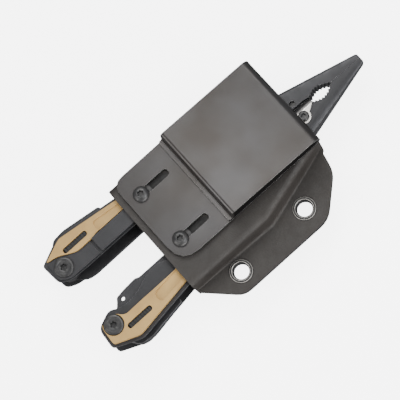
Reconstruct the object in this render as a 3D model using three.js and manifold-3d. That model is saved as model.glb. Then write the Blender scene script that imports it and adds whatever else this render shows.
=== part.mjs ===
// Butterfly multi tool with its pliers out, stowed in a folded belt sheath with a spring steel clip.
// Millimetres. +X runs along the tool to the jaw tips, +Y to the sheath's folded edge, +Z to the belt
// clip. The origin is on the sheath's back face, under the plier pivot.
import * as THREE from "three";
import { ConvexGeometry } from "three/addons/geometries/ConvexGeometry.js";
import { mergeVertices } from "three/addons/utils/BufferGeometryUtils.js";
import Module from "manifold-3d";

const wasm = await Module();
wasm.setup();

// ---- Driving dimensions -------------------------------------------------------------------------

// Sheath
const SHEATH_WALL = 2.0;
const MOUTH_X = -76.5;
const NOSE_X = 11;
const FOLD_Y = 31.1;
const FOLD_RADIUS = 5.5;
const BULGE_FOOT_Y = -30.8;
const BULGE_DRAFT = 0.5;
const BULGE_RADIUS = 3.2;
const TAPER_START_X = -30;
const BULGE_NOSE_Y = -19.6;
const FLANGE_EDGE_Y = -46.8;
const EYELET_MOUTH_X = -55.2;
const EYELET_NOSE_X = -14.4;
const EYELET_MOUTH_DROP = 7.0;
const EYELET_NOSE_DROP = 5.0;
const EYELET_BARREL_R = 4.1;
const EYELET_HOLE_R = 3.6;
const EYELET_FLARE_R = 5.6;
const EYELET_FLARE_T = 0.7;
const EYELET_DISH = 1.4;

// Belt clip and its screws
const CLIP_T = 1.3;
const CLIP_WIDTH = 50.5;
const CLIP_CENTRE_Y = 5.2;
const CLIP_BASE_X = -73;
const CLIP_BEND_X = 11.6;
const CLIP_BEND_R = 2.9;
const CLIP_RISE = 2.6;
const CLIP_LIP_X = -44;
const CLIP_HOOK_REACH = 3.2;
const CLIP_HOOK_R = 1.6;
const CLIP_FOLD_CORNER_R = 6;
const CLIP_OPEN_CORNER_R = 11;
const CLIP_LIP_CORNER_R = 3;
const CLIP_SLOT_W = 3.8;
const CLIP_TRAVEL = 14.6;
const CLIP_SCREW_X = -65.8;
const CLIP_SCREW_Y = [17.7, -10.5];
const CLIP_SCREW_R = 1.75;
const CLIP_HEAD_R = 3.9;
const CLIP_HEAD_H = 2.1;
const CLIP_WASHER_R = 5.5;
const CLIP_WASHER_T = 0.8;
const CLIP_NUT_FLANGE_R = 5.2;
const CLIP_NUT_FLANGE_T = 0.8;
const CLIP_NUT_BARREL_R = 2.7;

// Tool: layers measured out from its middle plane
const CHANNEL_HALF = 6.1;
const LINER_T = 1.4;
const SCALE_T = 2.2;
const STOW_GAP = 1.0;

// Jaws
const NOSE_TIP_X = 52;
const NOSE_ROOT_X = 12;
const NOSE_ROOT_HALF_W = 12.4;
const NOSE_TIP_HALF_W = 2.6;
const JAW_HALF_T = 5.7;
const NOSE_TIP_HALF_T = 2.4;
const BOSS_R = 9.6;
const PIVOT_R = 3.0;
const PIVOT_HEAD_R = 6.4;
const PIVOT_HEAD_H = 2.6;
const PIVOT_SINK = 1.6;
const PIVOT_THREAD_R = 2.4;
const FOLD_PIVOT_X = -18;
const FOLD_PIVOT_Y = 11;
const KNUCKLE_R = 6.6;
const FOLD_PIN_R = 2.0;
const GRIP_START_X = 21.6;
const GRIP_END_X = 34;
const GRIP_DEPTH = 3.1;
const GRIP_TOOTH = 0.8;
const NOSE_CHAMFER_W = 2.4;
const NOSE_CHAMFER_T = 1.3;
const CUTTER_START_X = 10.6;
const CUTTER_END_X = 21.2;
const CUTTER_DEPTH = 3.2;
const CUTTER_T = 4.0;
const CUTTER_PROUD = 0.15;
const CUTTER_SCREW_X = 14;
const CUTTER_SCREW_Y = 4.1;
const CUTTER_SCREW_R = 1.5;
const CUTTER_LOBE_R = 3.5;
const CUTTER_HEAD_R = 2.6;
const CUTTER_HEAD_H = 1.4;
const CUTTER_GRIND = 1.0;

// Handles
const TOOL_PIVOT_X = -115;
const TOOL_PIVOT_Y = 18.2;
const TOOL_PIN_R = 2.25;
const HANDLE_CORNER_X = -108.6;
const HANDLE_CORNER_Y = 31.8;
const HANDLE_MOUTH_Y = 27.2;
const HANDLE_END_X = -122.6;
const HANDLE_INNER_Y = 11.2;
const SCALE_INSET = 1.8;
const UPPER_HEAD_R = 4.75;
const LOWER_HEAD_R = 4.75;
const HEAD_H = 1.0;
const HEAD_GAP = 0.35;
const FOLD_HEAD_R = 4.0;
const FOLD_HEAD_H = 1.4;
const POCKET_CLIP_T = 1.3;
const POCKET_CLIP_RISE = 1.2;
const POCKET_CLIP_REACH = 24;
const POCKET_CLIP_STEP_X = 18.4;
const POCKET_CLIP_GROOVE_W = 1.6;
const POCKET_CLIP_GROOVE_T = 0.9;
const SCALE_CLIP_GAP = 0.3;
const SPACER_LENGTH = 21;
const SPACER_REACH = 4.2;
const SCALE_SLOT_W = 2.8;
const SCALE_SLOT_X = [-110.6, -96.4];
const SCALE_SLOT_RISE = 5.4;
const THUMB_RECESS_T = 0.7;
const BAR_T = 0.9;
const BAR_RIBS = 9;
const BAR_RIB_H = 0.6;

// Tools carried in the handles
const BLADE_T = 2.6;
const SHORT_T = 2.6;
const SHORT_REACH = 30.5;
const BLADE_REACH = 88;
const THUMB_HOLE_R = 1.0;
const KNIFE_GRIND = 5;
const TOOL_EYE_R = 5;

// Clearances
const RUN = 0.05;
const SEAT = 0.02;
const JAW_GAP = 0.05;
const STACK_GAP = 0.15;
const BAR_GAP = 0.15;

// Facets round a turned piece, along a rounded corner, and round a driver recess
const ROUND_STEPS = 24;
const CURVE_STEPS = 4;
const RECESS_STEPS = 12;

// ---- Derived places -----------------------------------------------------------------------------

const HANDLE_HALF = CHANNEL_HALF + LINER_T + SCALE_T;
const SHEATH_HEIGHT = 2 * (HANDLE_HALF + STOW_GAP + SHEATH_WALL);
const MID_Z = SHEATH_HEIGHT / 2;
const LEAF_Z = SHEATH_HEIGHT + CLIP_WASHER_T + RUN;
const LEAF_TOP_Z = LEAF_Z + CLIP_T;
const FRONT_LINER_Z = MID_Z + CHANNEL_HALF;
const BACK_LINER_Z = MID_Z - CHANNEL_HALF - LINER_T;
const SHANK_END_Z = MID_Z - CHANNEL_HALF;

// ---- Solids -------------------------------------------------------------------------------------

function solidOf(geometry) {
  const bare = geometry.index ? geometry.toNonIndexed() : geometry.clone();
  for (const name of Object.keys(bare.attributes)) {
    if (name !== "position") {
      bare.deleteAttribute(name);
    }
  }
  const merged = mergeVertices(bare, 1e-4);
  return new wasm.Manifold(new wasm.Mesh({
    numProp: 3,
    vertProperties: merged.attributes.position.array,
    triVerts: Uint32Array.from(merged.index.array),
  }));
}

function geometryOf(solid) {
  const mesh = solid.getMesh();
  const geometry = new THREE.BufferGeometry();
  geometry.setAttribute("position", new THREE.BufferAttribute(mesh.vertProperties, 3));
  geometry.setIndex(new THREE.BufferAttribute(mesh.triVerts, 1));
  geometry.computeVertexNormals();
  return geometry;
}

// A plate lying flat: a closed outline between two heights.
function plate(shape, zLow, zHigh) {
  const geometry = new THREE.ExtrudeGeometry(shape, {
    depth: zHigh - zLow,
    bevelEnabled: false,
    curveSegments: CURVE_STEPS,
  });
  geometry.translate(0, 0, zLow);
  return solidOf(geometry);
}

// A plate standing on edge: an outline in X and Z, extruded across Y.
function sidePlate(shape, yLow, yHigh) {
  const geometry = new THREE.ExtrudeGeometry(shape, {
    depth: yHigh - yLow,
    bevelEnabled: false,
    curveSegments: CURVE_STEPS,
  });
  geometry.rotateX(Math.PI / 2);
  geometry.translate(0, yHigh, 0);
  return solidOf(geometry);
}

// A body of revolution about Z from (radius, height) pairs that start and end on the axis.
function turned(pairs, x, y) {
  const profile = pairs.map(([r, z]) => new THREE.Vector2(r, z));
  const geometry = new THREE.LatheGeometry(profile, ROUND_STEPS);
  geometry.rotateX(Math.PI / 2);
  geometry.translate(x, y, 0);
  return solidOf(geometry);
}

function disc(x, y, radius, zLow, zHigh) {
  return turned([[0, zLow], [radius, zLow], [radius, zHigh], [0, zHigh]], x, y);
}

// A six-lobed driver recess, for cutting into a screw head.
function recess(x, y, radius, zLow, zHigh) {
  const shape = new THREE.Shape();
  const lobes = 6;
  for (let i = 0; i < RECESS_STEPS; i += 1) {
    const angle = (i / RECESS_STEPS) * 2 * Math.PI;
    const r = radius * (0.86 + 0.14 * Math.cos(lobes * angle));
    const point = [x + r * Math.cos(angle), y + r * Math.sin(angle)];
    if (i === 0) {
      shape.moveTo(...point);
    } else {
      shape.lineTo(...point);
    }
  }
  return plate(shape, zLow, zHigh);
}

function outline(points) {
  return new THREE.Shape(points.map(([x, y]) => new THREE.Vector2(x, y)));
}

// An outline whose corners are rounded: each point is [x, y, radius].
function roundedOutline(points) {
  const shape = new THREE.Shape();
  const count = points.length;
  for (let i = 0; i < count; i += 1) {
    const here = new THREE.Vector2(points[i][0], points[i][1]);
    const radius = points[i][2] ?? 0;
    const before = new THREE.Vector2(...points[(i + count - 1) % count].slice(0, 2));
    const after = new THREE.Vector2(...points[(i + 1) % count].slice(0, 2));
    const toBefore = before.clone().sub(here);
    const toAfter = after.clone().sub(here);
    const reach = Math.min(radius, toBefore.length() * 0.48, toAfter.length() * 0.48);
    const start = here.clone().addScaledVector(toBefore.normalize(), reach);
    const end = here.clone().addScaledVector(toAfter.normalize(), reach);
    if (i === 0) {
      shape.moveTo(start.x, start.y);
    } else {
      shape.lineTo(start.x, start.y);
    }
    if (reach > 0) {
      shape.quadraticCurveTo(here.x, here.y, end.x, end.y);
    }
  }
  shape.closePath();
  return shape;
}

// Pieces of the upper handle are modelled in place; the lower handle's are their mirror image.
function onSide(side, solid) {
  return side === "upper" ? solid : solid.mirror([0, 1, 0]);
}

const group = new THREE.Group();

function addPiece(name, solid, finish) {
  const mesh = new THREE.Mesh(geometryOf(solid), new THREE.MeshStandardMaterial(finish));
  mesh.name = name;
  group.add(mesh);
}

const FINISH = {
  sheath: { color: 0x4e4a47, roughness: 0.5, metalness: 0 },
  clip: { color: 0x6f6b66, roughness: 0.35, metalness: 1 },
  screw: { color: 0x5a5957, roughness: 0.4, metalness: 1 },
  eyelet: { color: 0x1e1d1c, roughness: 0.35, metalness: 1 },
  oxide: { color: 0x55565b, roughness: 0.5, metalness: 1 },
  cutter: { color: 0xe1ded7, roughness: 0.25, metalness: 1 },
  scale: { color: 0xcdb28a, roughness: 0.75, metalness: 0 },
  bar: { color: 0x1c1c1c, roughness: 0.5, metalness: 0 },
};

// ---- Sheath -------------------------------------------------------------------------------------

// One cross-section of the moulded pocket, drawn in by the wall when it is the cavity's.
function pocketSection(x, footY, inset) {
  const low = inset;
  const high = SHEATH_HEIGHT - inset;
  const foldRadius = FOLD_RADIUS - inset;
  const bulgeRadius = Math.max(BULGE_RADIUS - inset, 0.6);
  const points = [];
  const steps = 5;
  const arc = (cy, cz, radius, from, to) => {
    for (let i = 0; i <= steps; i += 1) {
      const angle = from + ((to - from) * i) / steps;
      points.push(new THREE.Vector3(x, cy + radius * Math.cos(angle), cz + radius * Math.sin(angle)));
    }
  };
  const foldY = FOLD_Y - inset - foldRadius;
  arc(foldY, low + foldRadius, foldRadius, -Math.PI / 2, 0);
  arc(foldY, high - foldRadius, foldRadius, 0, Math.PI / 2);
  const bulgeY = footY + inset + BULGE_DRAFT + bulgeRadius;
  arc(bulgeY, high - bulgeRadius, bulgeRadius, Math.PI / 2, Math.PI);
  points.push(new THREE.Vector3(x, footY + inset, MID_Z + SHEATH_WALL - inset));
  points.push(new THREE.Vector3(x, footY + inset, MID_Z - SHEATH_WALL + inset));
  arc(bulgeY, low + bulgeRadius, bulgeRadius, Math.PI, 1.5 * Math.PI);
  return points;
}

function pocket(inset, overrun) {
  const slope = (BULGE_NOSE_Y - BULGE_FOOT_Y) / (NOSE_X - TAPER_START_X);
  return solidOf(new ConvexGeometry([
    ...pocketSection(MOUTH_X - overrun, BULGE_FOOT_Y, inset),
    ...pocketSection(TAPER_START_X, BULGE_FOOT_Y, inset),
    ...pocketSection(NOSE_X + overrun, BULGE_NOSE_Y + slope * overrun, inset),
  ]));
}

const FLANGE_LOW_Z = MID_Z - SHEATH_WALL;
const FLANGE_HIGH_Z = MID_Z + SHEATH_WALL;
const EYELET_MOUTH_Y = BULGE_FOOT_Y - EYELET_MOUTH_DROP;
const EYELET_NOSE_Y = BULGE_FOOT_Y - EYELET_NOSE_DROP;
const EYELETS = [
  ["eyelet_mouth", EYELET_MOUTH_X, EYELET_MOUTH_Y],
  ["eyelet_nose", EYELET_NOSE_X, EYELET_NOSE_Y],
];

function buildSheath() {
  const flange = plate(roundedOutline([
    [MOUTH_X, BULGE_FOOT_Y + 3, 0],
    [MOUTH_X, BULGE_FOOT_Y - 0.4, 1.5],
    [EYELET_MOUTH_X - 6, FLANGE_EDGE_Y, 4],
    [EYELET_NOSE_X + 4.8, FLANGE_EDGE_Y, 5],
    [NOSE_X - 3.8, BULGE_FOOT_Y - 0.6, 4],
    [NOSE_X - 1.2, BULGE_NOSE_Y - 0.4, 1.5],
    [NOSE_X - 1.2, BULGE_NOSE_Y + 3, 0],
    [TAPER_START_X, BULGE_FOOT_Y + 3, 0],
  ]), FLANGE_LOW_Z, FLANGE_HIGH_Z);
  let shell = pocket(0, 0).add(flange).subtract(pocket(SHEATH_WALL, 1));
  for (const [, x, y] of EYELETS) {
    shell = shell.subtract(disc(x, y, EYELET_BARREL_R + SEAT, -1, SHEATH_HEIGHT + 1));
  }
  const nutTop = SHEATH_HEIGHT - SHEATH_WALL + CLIP_NUT_FLANGE_T;
  for (const y of CLIP_SCREW_Y) {
    shell = shell.subtract(disc(CLIP_SCREW_X, y, CLIP_NUT_BARREL_R + SEAT, MID_Z, SHEATH_HEIGHT + 1));
    shell = shell.subtract(disc(CLIP_SCREW_X, y, CLIP_NUT_FLANGE_R + RUN, MID_Z, nutTop + SEAT));
  }
  addPiece("sheath_shell", shell, FINISH.sheath);
}

// A tubular rivet: a barrel through both flange layers with a rolled flare on each face.
function buildEyelet(name, x, y) {
  const low = FLANGE_LOW_Z - SEAT;
  const high = FLANGE_HIGH_Z + SEAT;
  const lip = EYELET_FLARE_T;
  const edge = EYELET_FLARE_R;
  const rivet = turned([
    [0, low - lip],
    [edge - 0.7, low - lip],
    [edge, low - lip * 0.5],
    [edge, low],
    [EYELET_BARREL_R, low],
    [EYELET_BARREL_R, high],
    [edge, high],
    [edge, high + lip * 0.5],
    [edge - 0.7, high + lip],
    [0, high + lip],
  ], x, y);
  const bore = turned([
    [0, low - lip - EYELET_DISH / 2],
    [EYELET_HOLE_R + EYELET_DISH, low - lip - EYELET_DISH / 2],
    [EYELET_HOLE_R, low - lip + EYELET_DISH / 2],
    [EYELET_HOLE_R, high + lip - EYELET_DISH / 2],
    [EYELET_HOLE_R + EYELET_DISH, high + lip + EYELET_DISH / 2],
    [0, high + lip + EYELET_DISH / 2],
  ], x, y);
  addPiece(name, rivet.subtract(bore), FINISH.eyelet);
}

buildSheath();
for (const [name, x, y] of EYELETS) {
  buildEyelet(name, x, y);
}

// ---- Belt clip ----------------------------------------------------------------------------------

// The clip's middle line in X and Z: base leaf, U-bend, outer leaf, hook and lip.
function clipMiddleLine() {
  const z = LEAF_Z + CLIP_T / 2;
  const bendX = CLIP_BEND_X - CLIP_T / 2 - CLIP_BEND_R;
  const top = z + 2 * CLIP_BEND_R;
  const crest = top + CLIP_RISE;
  const valley = z + CLIP_T + 0.6;
  const hookX = CLIP_LIP_X + CLIP_HOOK_REACH;
  const path = new THREE.Path();
  path.moveTo(CLIP_BASE_X, z);
  path.lineTo(bendX, z);
  path.absarc(bendX, z + CLIP_BEND_R, CLIP_BEND_R, -Math.PI / 2, Math.PI / 2, false);
  path.lineTo(hookX + CLIP_HOOK_R, crest);
  path.quadraticCurveTo(hookX, crest, hookX, crest - CLIP_HOOK_R);
  path.lineTo(hookX - 0.4, valley + CLIP_HOOK_R);
  path.quadraticCurveTo(hookX - 0.5, valley + 0.2, hookX - CLIP_HOOK_R, valley + 0.1);
  path.lineTo(CLIP_LIP_X, valley + 0.2);
  return path;
}

// Gives a middle line its sheet thickness.
function sheetOutline(path, thickness) {
  const middle = path.getPoints(8).filter((p, i, all) => i === 0 || p.distanceTo(all[i - 1]) > 1e-6);
  const left = [];
  const right = [];
  middle.forEach((p, i) => {
    const ahead = middle[Math.min(i + 1, middle.length - 1)].clone().sub(p).normalize();
    const behind = p.clone().sub(middle[Math.max(i - 1, 0)]).normalize();
    const along = i === 0 ? ahead : i === middle.length - 1 ? behind : ahead.clone().add(behind).normalize();
    const half = thickness / 2 / Math.max(along.dot(i === 0 ? ahead : behind), 0.7);
    left.push(new THREE.Vector2(p.x - along.y * half, p.y + along.x * half));
    right.push(new THREE.Vector2(p.x + along.y * half, p.y - along.x * half));
  });
  return new THREE.Shape([...left, ...right.reverse()]);
}

function buildClip() {
  const yLow = CLIP_CENTRE_Y - CLIP_WIDTH / 2;
  const yHigh = CLIP_CENTRE_Y + CLIP_WIDTH / 2;
  const bent = sidePlate(sheetOutline(clipMiddleLine(), CLIP_T), yLow, yHigh);
  const split = LEAF_TOP_Z + 0.25;
  const base = plate(roundedOutline([
    [CLIP_BASE_X - 1, yLow - 1, 0],
    [CLIP_BEND_X + 1, yLow - 1, 0],
    [CLIP_BEND_X + 1, yHigh + 1, 0],
    [CLIP_BASE_X - 1, yHigh + 1, 0],
  ]), LEAF_Z - 1, split);
  const rounded = plate(roundedOutline([
    [CLIP_BASE_X - 1e-3, yLow - 1e-3, CLIP_OPEN_CORNER_R],
    [CLIP_BEND_X + 1, yLow - 1e-3, 0],
    [CLIP_BEND_X + 1, yHigh + 1e-3, 0],
    [CLIP_BASE_X - 1e-3, yHigh + 1e-3, CLIP_FOLD_CORNER_R],
  ]), LEAF_Z - 1, split);
  const lip = plate(roundedOutline([
    [CLIP_LIP_X - 1, yLow - 1e-3, CLIP_LIP_CORNER_R],
    [CLIP_BEND_X + 1, yLow - 1e-3, 0],
    [CLIP_BEND_X + 1, yHigh + 1e-3, 0],
    [CLIP_LIP_X - 1, yHigh + 1e-3, CLIP_LIP_CORNER_R],
  ]), split, split + 20);
  let clip = bent.subtract(base.subtract(rounded)).intersect(lip.add(base));
  for (const y of CLIP_SCREW_Y) {
    const half = CLIP_SLOT_W / 2;
    const slot = plate(roundedOutline([
      [CLIP_SCREW_X - half, y - half, half],
      [CLIP_SCREW_X + CLIP_TRAVEL + half, y - half, half],
      [CLIP_SCREW_X + CLIP_TRAVEL + half, y + half, half],
      [CLIP_SCREW_X - half, y + half, half],
    ]), LEAF_Z - 1, split);
    clip = clip.subtract(slot);
  }
  addPiece("belt_clip", clip, FINISH.clip);
}

function buildClipFasteners(side, y) {
  const x = CLIP_SCREW_X;
  const washer = disc(x, y, CLIP_WASHER_R, SHEATH_HEIGHT, SHEATH_HEIGHT + CLIP_WASHER_T)
    .subtract(disc(x, y, CLIP_SCREW_R + RUN, MID_Z, LEAF_TOP_Z));
  addPiece(`clip_washer_${side}`, washer, FINISH.screw);
  const flangeLow = SHEATH_HEIGHT - SHEATH_WALL;
  const nut = turned([
    [0, flangeLow],
    [CLIP_NUT_FLANGE_R, flangeLow],
    [CLIP_NUT_FLANGE_R, flangeLow + CLIP_NUT_FLANGE_T],
    [CLIP_NUT_BARREL_R, flangeLow + CLIP_NUT_FLANGE_T],
    [CLIP_NUT_BARREL_R, SHEATH_HEIGHT - SEAT],
    [0, SHEATH_HEIGHT - SEAT],
  ], x, y).subtract(disc(x, y, CLIP_SCREW_R + RUN, MID_Z, SHEATH_HEIGHT + 1));
  addPiece(`clip_nut_${side}`, nut, FINISH.screw);
  const under = LEAF_TOP_Z + RUN;
  const screw = turned([
    [0, flangeLow + 0.1],
    [CLIP_SCREW_R, flangeLow + 0.1],
    [CLIP_SCREW_R, under],
    [CLIP_HEAD_R, under],
    [CLIP_HEAD_R, under + CLIP_HEAD_H * 0.35],
    [CLIP_HEAD_R * 0.86, under + CLIP_HEAD_H * 0.72],
    [CLIP_HEAD_R * 0.55, under + CLIP_HEAD_H],
    [0, under + CLIP_HEAD_H],
  ], x, y).subtract(recess(x, y, CLIP_HEAD_R * 0.33, under + CLIP_HEAD_H * 0.3, under + CLIP_HEAD_H + 1));
  addPiece(`clip_screw_${side}`, screw, FINISH.screw);
}

buildClip();
buildClipFasteners("upper", CLIP_SCREW_Y[0]);
buildClipFasteners("lower", CLIP_SCREW_Y[1]);

// ---- Jaws ---------------------------------------------------------------------------------------

// Teeth along the pipe grip: an arched gap edge with evenly spaced notches.
function gripOutline() {
  const points = [];
  const teeth = 8;
  const steps = teeth * 2;
  for (let i = 0; i <= steps; i += 1) {
    const share = i / steps;
    const x = GRIP_START_X + (GRIP_END_X - GRIP_START_X) * share;
    const arch = GRIP_DEPTH * Math.sin(Math.PI * (0.12 + 0.88 * share));
    const tooth = i % 2 === 0 ? 0 : GRIP_TOOTH;
    points.push([x, Math.max(arch - GRIP_TOOTH / 2 + tooth, 0.05)]);
  }
  return outline([[GRIP_START_X, -1], ...points, [GRIP_END_X, -1]].reverse());
}

// The cutter insert's outline on the +Y side: a straight edge and a round lobe for its screw.
function cutterOutline(grow) {
  const low = JAW_GAP - (grow > 0 ? 1 : 0);
  const lobe = CUTTER_LOBE_R + grow;
  const shape = new THREE.Shape();
  shape.moveTo(CUTTER_START_X - grow, low);
  shape.lineTo(CUTTER_END_X + grow, low);
  shape.lineTo(CUTTER_END_X + grow, CUTTER_DEPTH * 0.55 + grow);
  shape.lineTo(CUTTER_SCREW_X + lobe, CUTTER_SCREW_Y);
  shape.absarc(CUTTER_SCREW_X, CUTTER_SCREW_Y, lobe, 0, Math.PI * 0.9, false);
  shape.lineTo(CUTTER_START_X - grow, CUTTER_DEPTH);
  shape.closePath();
  return shape;
}

// The nose tapers in both directions, and its long outer edges are chamfered.
function noseSection(x, halfWidth, halfT, chamfer) {
  const corners = [[0, halfT], [halfWidth - NOSE_CHAMFER_W * chamfer, halfT],
    [halfWidth, halfT - NOSE_CHAMFER_T * chamfer]];
  return corners.flatMap(([y, t]) => [
    new THREE.Vector3(x, y + JAW_GAP, MID_Z + t),
    new THREE.Vector3(x, y + JAW_GAP, MID_Z - t),
  ]);
}

function noseSolid() {
  return solidOf(new ConvexGeometry([
    ...noseSection(BOSS_R * 0.5, BOSS_R * 0.8, JAW_HALF_T, 1),
    ...noseSection(NOSE_ROOT_X, NOSE_ROOT_HALF_W, JAW_HALF_T, 1),
    ...noseSection(NOSE_TIP_X - 0.8, NOSE_TIP_HALF_W + 0.1, NOSE_TIP_HALF_T, 0.35),
    ...noseSection(NOSE_TIP_X, NOSE_TIP_HALF_W - 0.6, NOSE_TIP_HALF_T - 0.3, 0.2),
  ]));
}

// The jaw with its nose on the +Y side. It takes the front half of the lap joint.
function jawSolid() {
  const front = MID_Z + JAW_HALF_T;
  const back = MID_Z - JAW_HALF_T;
  const lapLow = MID_Z + RUN;
  const boss = disc(0, 0, BOSS_R, lapLow, front);
  const tang = plate(outline([
    [2, -BOSS_R + 0.4],
    [BOSS_R - 1.6, 4],
    [-2, BOSS_R - 0.4],
    [-BOSS_R + 0.4, 2],
    [FOLD_PIVOT_X - 2, -FOLD_PIVOT_Y + KNUCKLE_R * 0.8],
    [FOLD_PIVOT_X + 2, -FOLD_PIVOT_Y - KNUCKLE_R * 0.9],
  ].reverse()), lapLow, front);
  const knuckle = disc(FOLD_PIVOT_X, -FOLD_PIVOT_Y, KNUCKLE_R, back, front);
  const partnerRoom = disc(0, 0, BOSS_R + 0.5, back - 1, lapLow);
  const headRoom = disc(0, 0, PIVOT_HEAD_R + 0.4, front - PIVOT_SINK, SHEATH_HEIGHT);
  const cutterSeat = plate(cutterOutline(0.1), back - 1, back + CUTTER_T);
  const partnerCutterRoom = plate(outline([
    [BOSS_R - 1, -1],
    [CUTTER_END_X + 0.6, -1],
    [CUTTER_END_X + 0.6, 1.6],
    [CUTTER_END_X - 2, 2.1],
    [BOSS_R - 1, 2.1],
  ]), front - CUTTER_T, front + 1);
  return noseSolid()
    .subtract(plate(gripOutline(), 0, SHEATH_HEIGHT))
    .subtract(cutterSeat)
    .subtract(partnerCutterRoom)
    .subtract(partnerRoom)
    .add(boss)
    .add(tang)
    .add(knuckle)
    .subtract(disc(0, 0, PIVOT_R + RUN, 0, SHEATH_HEIGHT))
    .subtract(headRoom)
    .subtract(disc(FOLD_PIVOT_X, -FOLD_PIVOT_Y, FOLD_PIN_R + RUN, 0, SHEATH_HEIGHT))
    .subtract(disc(CUTTER_SCREW_X, CUTTER_SCREW_Y, CUTTER_SCREW_R + SEAT, 0, SHEATH_HEIGHT));
}

// Turns a piece of this jaw into its partner on the other jaw: half a turn about X.
function turnedOver(solid) {
  return solid.translate([0, 0, -MID_Z]).rotate([180, 0, 0]).translate([0, 0, MID_Z]);
}

// The wire cutter that sits in this jaw's back face, and its screw.
function cutterSolid() {
  const low = MID_Z - JAW_HALF_T - CUTTER_PROUD;
  const high = MID_Z - JAW_HALF_T + CUTTER_T - SEAT;
  const ground = solidOf(new ConvexGeometry([CUTTER_START_X - 1, CUTTER_END_X + 1].flatMap((x) => [
    new THREE.Vector3(x, -1, low - 1),
    new THREE.Vector3(x, -1, low + CUTTER_GRIND),
    new THREE.Vector3(x, JAW_GAP, low + CUTTER_GRIND),
    new THREE.Vector3(x, CUTTER_GRIND * 1.6, low),
    new THREE.Vector3(x, CUTTER_GRIND * 1.6, low - 1),
  ])));
  return plate(cutterOutline(0), low, high)
    .subtract(ground)
    .subtract(disc(CUTTER_SCREW_X, CUTTER_SCREW_Y, CUTTER_SCREW_R + SEAT, 0, SHEATH_HEIGHT));
}

function cutterScrewSolid() {
  const under = MID_Z - JAW_HALF_T - CUTTER_PROUD - SEAT;
  const head = under - CUTTER_HEAD_H;
  const end = MID_Z + JAW_HALF_T - 2;
  return turned([
    [0, head],
    [CUTTER_HEAD_R * 0.8, head],
    [CUTTER_HEAD_R, head + 0.5],
    [CUTTER_HEAD_R, under],
    [CUTTER_SCREW_R - SEAT, under],
    [CUTTER_SCREW_R - SEAT, end],
    [0, end],
  ], CUTTER_SCREW_X, CUTTER_SCREW_Y)
    .subtract(recess(CUTTER_SCREW_X, CUTTER_SCREW_Y, CUTTER_HEAD_R * 0.48, head - 1, head + 0.9));
}

addPiece("jaw_upper", jawSolid(), FINISH.oxide);
addPiece("jaw_lower", turnedOver(jawSolid()), FINISH.oxide);
addPiece("cutter_upper", cutterSolid(), FINISH.cutter);
addPiece("cutter_lower", turnedOver(cutterSolid()), FINISH.cutter);
addPiece("cutter_screw_upper", cutterScrewSolid(), FINISH.screw);
addPiece("cutter_screw_lower", turnedOver(cutterScrewSolid()), FINISH.screw);

// ---- Plier pivot --------------------------------------------------------------------------------

function buildPivot() {
  const headLow = MID_Z + JAW_HALF_T - PIVOT_SINK + SEAT;
  const nutHigh = MID_Z - JAW_HALF_T + PIVOT_SINK - SEAT;
  const threadLow = nutHigh - PIVOT_HEAD_H / 2;
  const bolt = turned([
    [0, threadLow],
    [PIVOT_THREAD_R, threadLow],
    [PIVOT_THREAD_R, nutHigh],
    [PIVOT_R, nutHigh + RUN],
    [PIVOT_R, headLow],
    [PIVOT_HEAD_R, headLow],
    [PIVOT_HEAD_R, headLow + PIVOT_HEAD_H - 0.6],
    [PIVOT_HEAD_R - 0.8, headLow + PIVOT_HEAD_H],
    [0, headLow + PIVOT_HEAD_H],
  ], 0, 0).subtract(recess(0, 0, 2.2, headLow + 0.9, headLow + PIVOT_HEAD_H + 1));
  const nut = turned([
    [0, nutHigh - PIVOT_HEAD_H],
    [PIVOT_HEAD_R - 0.8, nutHigh - PIVOT_HEAD_H],
    [PIVOT_HEAD_R, nutHigh - PIVOT_HEAD_H + 0.6],
    [PIVOT_HEAD_R, nutHigh],
    [0, nutHigh],
  ], 0, 0).subtract(disc(0, 0, PIVOT_THREAD_R + RUN, threadLow - RUN, MID_Z));
  addPiece("pivot_bolt", bolt, FINISH.screw);
  addPiece("pivot_nut", nut, FINISH.screw);
}

buildPivot();

// ---- Handles ------------------------------------------------------------------------------------

// Height of the handle's outer edge above the tool's middle line at any place along it.
const OUTER_SLOPE = (HANDLE_CORNER_Y - HANDLE_MOUTH_Y) / (HANDLE_CORNER_X - MOUTH_X);
function outerY(x) {
  return HANDLE_MOUTH_Y + OUTER_SLOPE * (x - MOUTH_X);
}

const FOLD_END_X = FOLD_PIVOT_X + KNUCKLE_R;
const INNER_NEAR_Y = FOLD_PIVOT_Y - KNUCKLE_R + 0.4;

// The steel liner's outline for a handle on the +Y side.
const LINER_POINTS = [
  [HANDLE_END_X, TOOL_PIVOT_Y + 7.4, 1.5],
  [HANDLE_END_X + 0.9, HANDLE_INNER_Y + 3.4, 3],
  [TOOL_PIVOT_X + 2.5, HANDLE_INNER_Y - 0.4, 3],
  [TOOL_PIVOT_X + 7, HANDLE_INNER_Y + 2.6, 3],
  [TOOL_PIVOT_X + 15, HANDLE_INNER_Y + 3.2, 5],
  [TOOL_PIVOT_X + 29, HANDLE_INNER_Y - 1.6, 5],
  [TOOL_PIVOT_X + 34, HANDLE_INNER_Y - 1.4, 3],
  [TOOL_PIVOT_X + 39, HANDLE_INNER_Y + 1.2, 4],
  [TOOL_PIVOT_X + 58, HANDLE_INNER_Y + 0.6, 6],
  [FOLD_PIVOT_X - KNUCKLE_R, INNER_NEAR_Y, 5],
  [FOLD_END_X - 1, INNER_NEAR_Y + 1, 4],
  [FOLD_END_X - 0.4, outerY(FOLD_END_X) - 1.5, 5],
  [FOLD_PIVOT_X - KNUCKLE_R, outerY(FOLD_PIVOT_X - KNUCKLE_R), 2],
  [HANDLE_CORNER_X, HANDLE_CORNER_Y, 2],
].reverse();

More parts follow.
